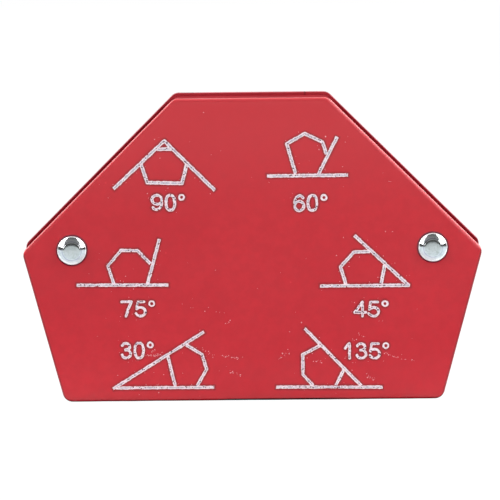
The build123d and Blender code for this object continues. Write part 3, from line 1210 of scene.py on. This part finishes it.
def enamel(name, base, deep, wear, gloss):
    """Sprayed and baked red enamel with orange peel, dust nibs, faint rubs, painted highlight and
    shade on the rims, a painted sheen towards the top, dull faces inside the sandwich deepened
    with painted shade, and a painted shadow round the rivets."""
    rough, coat = 0.43, 0.85  # roughness where unrubbed, weight of the clear coat
    mat = Surface(name)
    x, y, z = mat.split(mat.point)
    nibs = mat.spots(per_mm=0.16, over=(0.015, 0.05))
    colour = sprayed_red(mat, base, deep, z, nibs)
    geometry = mat.add("NewGeometry")
    normal = mat.split(geometry.outputs["Normal"])
    turned = abs(normal[1]).fall(over=(0.45, 0.97))  # 0 on the faces, 1 on the rims
    colour = painted_rim_light(mat, colour, x, normal, turned)
    colour, from_top = rim_tones(mat, colour, x, y, z, turned)
    # worn sharp edges
    edge = Value(mat, geometry.outputs["Pointiness"]).ramp(over=(0.53, 0.62))
    edge = edge * mat.noise(per_mm=0.7, detail=5, rough=0.65).ramp(over=(0.42, 0.62))
    colour = mat.mix(colour, scaled(base, 1.12, lift=0.05), by=edge * wear)
    far = abs(y)
    within = far.fall(over=(6.03, 6.14))
    colour = slot_and_rear_tones(
        mat, colour, deep, x, y, z, normal[2], turned, far, within, from_top
    )
    # painted shadow round the rivet heads
    radius = rivet_radius(mat, x, z) + mat.noise(per_mm=0.7) * 0.16
    rivet_shadow = radius.fall(over=(3.80, 4.16)) * far.ramp(over=(7.2, 7.35))
    rivet_shadow = rivet_shadow * mat.noise(per_mm=0.8, detail=3).ramp(over=(0.3, 0.6), to=(0.78, 1))
    colour = mat.mix(colour, (0.140, 0.0045, 0.021), by=rivet_shadow)
    # rubbed patches, fine variation and the dull inside
    rubbed = mat.noise(per_mm=0.22, detail=5, rough=0.6, distortion=0.4).ramp(over=(0.45, 0.7))
    roughness = rubbed * 0.07 + rough + mat.noise(per_mm=2.5, detail=3) * 0.04 + within * 0.25
    # the clear coat is duller on the lower part of the faces
    low = z.ramp(over=(0, 14), to=(0.08, 0.31))
    handled = (1 - turned) * mat.math("MINIMUM", low, z.ramp(over=(14, 44), to=(0.31, 0)))
    peel = mat.noise(per_mm=0.75, rough=0.45) + mat.noise(per_mm=2.2) * 0.35
    peel = mat.bump(peel, depth=0.012, strength=0.8)
    return mat.principled(
        Base_Color=colour,
        Roughness=roughness,
        IOR=1.5,
        Specular_IOR_Level=gloss - within * (gloss * 0.7),
        Coat_Weight=(1 - mat.math("MAXIMUM", within, handled)) * coat,
        Coat_Roughness=0.12,
        Normal=mat.bump(nibs, depth=0.02, strength=0.6, Normal=peel),
    )


# ----------------------------------------------------------------- other materials
def strip_paint(name):
    """Matt red paint on the edge band, streaky, with painted shade on the slopes and into the
    corners of the slot.
    """
    mat = Surface(name)
    x, y, _ = mat.split(mat.point)
    lines = mat.noise(per_mm=1.0, detail=4, rough=0.6, stretch=(0.25, 2.2, 0.25))
    streaky = lines.ramp(over=(0.32, 0.68))
    colour = mat.mix((0.228, 0.0122, 0.0182), (0.205, 0.0110, 0.0166), by=streaky)
    blotch = mat.noise(per_mm=0.12, detail=3).ramp(over=(0.45, 0.65), to=(0, 0.5))
    colour = mat.mix(colour, (0.17, 0.010, 0.015), by=blotch)
    # painted shade: darker on the slopes
    colour = mat.mix(colour, (0.10, 0.005, 0.008), by=abs(x).ramp(over=OVER_SHADE) * 0.45)
    # painted shade: darker into the corners beside the plates
    corner = abs(y).ramp(over=(4.9, 5.9))
    colour = mat.mix(colour, (0.06, 0.004, 0.007), by=corner * 0.7)
    relief = lines + mat.noise(per_mm=3.0, detail=3)
    return mat.principled(
        Base_Color=colour,
        Roughness=lines.ramp(over=(0.3, 0.7), to=(0.68, 0.80)),
        Specular_IOR_Level=0.02,
        Normal=mat.bump(relief, depth=0.012, strength=0.6),
    )


def zinc(name):
    """Bright zinc plate: cool, cloudy and finely pitted, with a painted dark reflection as a ring
    round the struck flat of the head, the flat painted duller, and a white rim as painted
    highlight."""
    mat = Surface(name)
    cloud = mat.noise(per_mm=0.9, detail=4, rough=0.6, distortion=0.6)
    cloudy = cloud.ramp(over=(0.35, 0.68))
    colour = mat.mix((0.83, 0.845, 0.85), (0.60, 0.645, 0.645), by=cloudy)
    violet = mat.noise(per_mm=1.7, detail=3).ramp(over=(0.4, 0.62), to=(0, 0.5))
    colour = mat.mix(colour, (0.76, 0.74, 0.80), by=violet)
    pits = mat.spots(per_mm=2.2, over=(0.03, 0.12))
    colour = mat.mix(colour, (0.32, 0.34, 0.35), by=pits * 0.35)
    x, y, z = mat.split(mat.point)
    radius = rivet_radius(mat, x, z)
    wander = radius + mat.noise(per_mm=1.1, detail=3) * 0.16
    head = y.ramp(over=(FRONT_Y + 0.02, FRONT_Y - 0.02))
    # painted reflection: a dark violet ring round the struck flat
    ring = wander.ramp(over=(2.30, 2.40)) * wander.fall(over=(2.44, 2.56)) * head
    ring = ring * mat.noise(per_mm=0.8, detail=3).ramp(over=(0.35, 0.6), to=(0.45, 1))
    colour = mat.mix(colour, (0.44, 0.42, 0.56), by=ring)
    # the struck flat, painted duller as a painted reflection, with swirls and dark patches
    inner = wander.fall(over=(2.0, 2.3)) * head
    colour = mat.mix(colour, (0.68, 0.71, 0.69), by=inner * 0.55)
    swirl = mat.noise(per_mm=0.62, detail=4, rough=0.62, distortion=1.6)
    swirl = inner * swirl.ramp(over=(0.48, 0.66), to=(0, 0.60))
    colour = mat.mix(colour, (0.46, 0.49, 0.475), by=swirl)
    dark = mat.noise(per_mm=1.9, detail=3, rough=0.6).ramp(over=(0.60, 0.72), to=(0, 0.55))
    colour = mat.mix(colour, (0.36, 0.38, 0.385), by=inner * dark)
    # painted highlight: the rim painted white and made less metallic
    rim = radius + mat.noise(per_mm=1.6, detail=3) * 0.10
    rim = rim.ramp(over=(3.36, 3.45)) * head
    colour = mat.mix(colour, (0.95, 0.92, 0.92), by=rim * 0.85)
    bloom = cloud.ramp(over=(0.35, 0.7), to=(0.07, 0.13))
    fine = mat.noise(per_mm=1.6, detail=3.5, rough=0.62)
    fine = fine + mat.noise(per_mm=7.0, detail=3) * 0.18
    return mat.principled(
        Base_Color=colour,
        Metallic=1 - rim * 0.80,
        Roughness=bloom + mat.noise(per_mm=5.0, detail=3) * 0.04,
        Normal=mat.bump(fine, depth=0.013, strength=0.5),
    )


def ink(name, full=(0.93, 0.80, 0.845), patchy=(0.84, 0.68, 0.735), show_through=0):
    """Screen-print ink, patchy where it lies thin and lets the red through, with dark
    pinholes."""
    mat = Surface(name)
    patch = mat.noise(per_mm=1.5, detail=4, rough=0.65).ramp(over=(0.36, 0.66))
    colour = mat.mix(full, patchy, by=patch)
    thin = mat.noise(per_mm=3.4, detail=3, rough=0.6).ramp(over=(0.50, 0.72), to=(0, 0.40))
    colour = mat.mix(colour, (full[0] * 0.85, full[1] * 0.5, full[2] * 0.52), by=thin)
    dark = mat.spots(per_mm=1.9, over=(0.10, 0.20))
    colour = mat.mix(colour, (0.13, 0.07, 0.10), by=dark * 0.60)
    if show_through:
        colour = mat.mix(colour, (0.60, 0.05, 0.07), by=show_through)
    relief = mat.noise(per_mm=3.0, detail=4, rough=0.6)
    return mat.principled(
        Base_Color=colour,
        Roughness=mat.noise(per_mm=2.0, detail=3).ramp(over=(0.3, 0.7), to=(0.5, 0.68)),
        Normal=mat.bump(relief, depth=0.012, strength=0.6),
    )


def dried(name):
    """Dried ink and dirt in the pinholes, a dull grey plum."""
    mat = Surface(name)
    tone = mat.noise(per_mm=1.3, detail=3).ramp(over=(0.35, 0.65))
    return mat.principled(
        Base_Color=mat.mix((0.10, 0.065, 0.09), (0.19, 0.075, 0.10), by=tone),
        Roughness=mat.noise(per_mm=4.0, detail=3).ramp(over=(0.3, 0.7), to=(0.6, 0.8)),
        Normal=mat.bump(mat.noise(per_mm=5.0, detail=3), depth=0.006, strength=0.5),
    )


def ferrite(name):
    """Grainy near-black magnet, dusty in spots."""
    mat = Surface(name)
    grain = mat.noise(per_mm=2.4, detail=6, rough=0.7)
    tone = grain.ramp(over=(0.35, 0.65))
    colour = mat.mix((0.055, 0.052, 0.052), (0.028, 0.027, 0.028), by=tone)
    dust = mat.spots(per_mm=0.9, over=(0.04, 0.14))
    return mat.principled(
        Base_Color=mat.mix(colour, (0.16, 0.15, 0.14), by=dust * 0.4),
        Roughness=grain.ramp(over=(0.3, 0.7), to=(0.55, 0.85)),
        Normal=mat.bump(grain, depth=0.06, strength=0.7),
    )


def nylon(name):
    """Black moulded nylon with faint flow marks."""
    mat = Surface(name)
    flow = mat.noise(per_mm=0.25, detail=4, distortion=1.2)
    tone = flow.ramp(over=(0.35, 0.65))
    return mat.principled(
        Base_Color=mat.mix((0.034, 0.034, 0.037), (0.022, 0.022, 0.024), by=tone),
        Roughness=flow.ramp(over=(0.3, 0.7), to=(0.42, 0.6)),
        Normal=mat.bump(mat.noise(per_mm=4.0, detail=3), depth=0.01, strength=0.6),
    )


def turned_steel(name):
    """Steel with fine turning lines round its Y axis."""
    mat = Surface(name)
    lines = mat.noise(per_mm=1.0, detail=4, rough=0.6, stretch=(0.4, 7.0, 0.4))
    tone = lines.ramp(over=(0.3, 0.7))
    return mat.principled(
        Base_Color=mat.mix((0.50, 0.51, 0.52), (0.36, 0.365, 0.37), by=tone),
        Metallic=1.0,
        Roughness=lines.ramp(over=(0.3, 0.7), to=(0.28, 0.45)),
        Normal=mat.bump(lines, depth=0.01, strength=0.6),
    )


def epoxy(name):
    """Cloudy amber resin with pale bubbles."""
    mat = Surface(name)
    cloud = mat.noise(per_mm=0.3, detail=4, rough=0.6, distortion=0.8)
    tone = cloud.ramp(over=(0.35, 0.65))
    colour = mat.mix((0.50, 0.38, 0.18), (0.36, 0.26, 0.11), by=tone)
    bubbles = mat.spots(per_mm=0.8, over=(0.05, 0.16))
    return mat.principled(
        Base_Color=mat.mix(colour, (0.66, 0.56, 0.34), by=bubbles * 0.4),
        Roughness=cloud.ramp(over=(0.3, 0.7), to=(0.15, 0.32)),
        Normal=mat.bump(cloud, depth=0.03, strength=0.5),
    )


def margin_enamel(name, base_scale, deep_scale, gloss):
    base, deep = scaled(RED, base_scale), scaled(DEEP_RED, deep_scale)
    return enamel(name, base, deep, wear=0.1, gloss=gloss)


plate_paint = enamel("plate_enamel", RED, DEEP_RED, wear=0.25, gloss=0.12)
band_paint = strip_paint("band_enamel")
zinc_plate = zinc("rivet_zinc")
white_ink = ink("print_ink")
streak_ink = ink("streak_ink", full=(0.60, 0.55, 0.61), patchy=(0.47, 0.42, 0.49))
thin_ink = ink("thin_ink", show_through=0.48)
dark_margin = margin_enamel("ink_margin_dark", base_scale=0.63, deep_scale=0.60, gloss=0.10)
pale_margin = margin_enamel("ink_margin_pale", base_scale=0.86, deep_scale=0.84, gloss=0.12)
dark_ink = dried("dried_ink")

# ----------------------------------------------------------------- pieces
front = plate("front_plate_painted", FRONT_Y, FRONT_IN, seed=5)
rear = plate("rear_plate_painted", REAR_Y, REAR_IN, seed=17)
band = edge_band("edge_band_bent")
left = rivet("left_rivet_set", LEFT_RIVET, seed=1)
right = rivet("right_rivet_set", RIGHT_RIVET, seed=2)
marks, streaks, pinholes = printed_marks()
inner_margin = creep("print_margin_inner", out=0.34, height=0.018, seed=700)
outer_margin = creep("print_margin_outer", out=0.50, height=0.010, seed=800)
filled = dried_dots(pinholes)
dots = specks()

# Object, material, slot, CAD pieces it replaces
for obj, material, slot, *nodes in (
    (front, plate_paint, "plate_enamel", "front_plate"),
    (rear, plate_paint, "plate_enamel", "rear_plate"),
    (band, band_paint, "band_enamel", "edge_band"),
    (left, zinc_plate, "rivet_zinc", "left_rivet"),
    (right, zinc_plate, "rivet_zinc", "right_rivet"),
    (marks, white_ink, "print_ink"),
    (streaks, streak_ink, "print_ink"),
    (inner_margin, dark_margin, "print_ink"),
    (outer_margin, pale_margin, "print_ink"),
    (filled, dark_ink, "print_ink"),
    (dots, thin_ink, "print_ink"),
):
    obj.data.materials.append(material)
    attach(obj, "root")
    if nodes:
        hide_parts(*nodes)

# CAD pieces kept inside the sandwich
for material, nodes in (
    (ferrite("ferrite_block"), ("upper_magnet", "lower_left_magnet", "lower_right_magnet")),
    (nylon("carrier_nylon"), ("magnet_carrier",)),
    (turned_steel("bush_steel"), ("left_bush", "right_bush")),
    (epoxy("epoxy"), ("epoxy_bond_layers",)),
):
    for node in nodes:
        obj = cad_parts[node]
        if obj.material_slots:
            for slot in obj.material_slots:
                slot.link = "OBJECT"
                slot.material = material
        else:
            obj.data.materials.append(material)


# ----------------------------------------------------------------- stage, metres
def floor_material():
    """Near white to the camera; to other rays a floor toned by place with painted light and
    shadow, in mm.
    """
    mat = Surface("pale_floor")
    x, y, _ = mat.split(mat.point)
    # painted light: paler towards the object
    near = y.ramp(over=(-330, -30))
    tone = mat.mix((0.345, 0.372, 0.378), (0.42, 0.47, 0.495), by=near)
    # painted light just in front of the object, painted shadow behind it
    tone = mat.mix(tone, (0.68, 0.71, 0.72), by=y.ramp(over=(-26, -9)))
    tone = mat.mix(tone, (0.12, 0.12, 0.12), by=y.ramp(over=(-6, 20)))
    # painted fall-off of light: dark beyond about 0.64 m
    reach = mat.add("VectorMath", mat.point)
    reach.operation = "LENGTH"
    away = Value(mat, reach.outputs["Value"]).ramp(over=(640, 700))
    tone = mat.mix(tone, (0.05, 0.055, 0.055), by=away)
    # painted shadow: nearly black under the object
    under = abs(y).fall(over=(7.9, 9.2)) * abs(x).fall(over=(46, 49))
    tone = mat.mix(tone, (0.02, 0.01, 0.01), by=under)
    # painted light: a faint glowing strip in front of the foot
    strip = y.ramp(over=(-15, -10)) * y.fall(over=(-9, -8.6))
    lift = mat.add("Emission", Color=(0.96, 1, 1), Strength=strip * 0.10)
    lit = mat.add("AddShader", mat.add("BsdfDiffuse", Color=tone), lift)
    seen = mat.add("BsdfDiffuse", Color=(0.04, 0.04, 0.04))
    glow = mat.add("Emission", Color=(1, 1, 1), Strength=0.975)
    seen = mat.add("AddShader", seen, glow)
    camera_ray = mat.add("LightPath").outputs["Is Camera Ray"]
    return mat.finish(mat.add("MixShader", camera_ray, lit, seen))


def add_floor():
    mesh = bpy.data.meshes.new("floor")
    with editing(mesh) as edit:
        bmesh.ops.create_grid(edit, x_segments=2, y_segments=2, size=1.1)
    floor = bpy.data.objects.new("floor", mesh)
    floor.location = (0, 0, -0.00002)
    bpy.context.scene.collection.objects.link(floor)
    mesh.materials.append(floor_material())


def add_world():
    """White to the camera; otherwise a dim room with a bright low sweep behind (+Y)."""
    world = bpy.data.worlds.new("studio")
    bpy.context.scene.world = world
    nodes = Nodes(world, "OutputWorld")
    _, y, z = nodes.split(nodes.add("TexCoord").outputs["Generated"])
    sweep = y.ramp(over=(0.15, 0.40)) * z.fall(over=(0.45, 0.75))
    dim = z.ramp(over=(0.16, 0.50), to=(0.07, 0.27)) - z.ramp(over=(0.62, 0.92), to=(0, 0.11))
    colour = nodes.mix(dim, (0.95, 0.95, 0.95), by=sweep)
    room = nodes.add("Background", Color=colour, Strength=1.0)
    white = nodes.add("Background", Color=(1, 1, 1), Strength=1.0)
    camera_ray = nodes.add("LightPath").outputs["Is Camera Ray"]
    nodes.put(nodes.output.inputs[0], nodes.add("MixShader", camera_ray, room, white))


def area_light(name, location, size, radiance, rotation=(0, 0, 0)):
    data = bpy.data.lights.new(name, "AREA")
    data.shape = "RECTANGLE"
    data.size, data.size_y = size
    data.energy = radiance * math.pi * size[0] * size[1]
    obj = bpy.data.objects.new(name, data)
    obj.location = location
    obj.rotation_euler = rotation
    obj.visible_camera = False
    bpy.context.scene.collection.objects.link(obj)


def wall_light(name, x, y, z, radiance):
    """A soft wall of light at x over the ranges y and z, facing the object."""
    area_light(
        name,
        location=(x, sum(y) / 2, sum(z) / 2),
        size=(y[1] - y[0], z[1] - z[0]),
        radiance=radiance,
        rotation=(math.pi / 2, 0, math.copysign(math.pi / 2, x)),
    )


def add_camera():
    """A long lens in front of the object, slightly above, looking at aim (mm)."""
    turn, rise, roll = (math.radians(a) for a in (0.191, 8.3467, -0.5636))
    aim, distance = Vector((-0.60, 0.0, 36.20)), 1045.26
    back = Vector(
        (math.sin(turn) * math.cos(rise), -math.cos(turn) * math.cos(rise), math.sin(rise))
    )
    side = Vector((math.cos(turn), math.sin(turn), 0))
    up = back.cross(side)
    right_axis = side * math.cos(roll) + up * math.sin(roll)
    up_axis = -side * math.sin(roll) + up * math.cos(roll)
    data = bpy.data.cameras.new("camera")
    data.sensor_width = 36.0
    data.lens = 305.856
    data.clip_start, data.clip_end = 0.05, 20.0
    camera = bpy.data.objects.new("camera", data)
    axes = Matrix((right_axis, up_axis, back)).transposed()
    camera.matrix_world = Matrix.Translation((aim + back * distance) * MM) @ axes.to_4x4()
    bpy.context.scene.collection.objects.link(camera)
    bpy.context.scene.camera = camera


add_floor()
add_world()
wall_light("wall_left", x=-0.85, y=(-0.66, 0.45), z=(0.205, 2.2), radiance=5.65)
wall_light("wall_right", x=0.58, y=(-0.54, 0.40), z=(0.148, 1.5), radiance=5.45)
area_light("overhead", location=(0, 0.36, 1.35), size=(0.8, 0.7), radiance=1.9)
add_camera()
bpy.context.scene.view_settings.view_transform = "Standard"
bpy.context.scene.view_settings.look = "None"
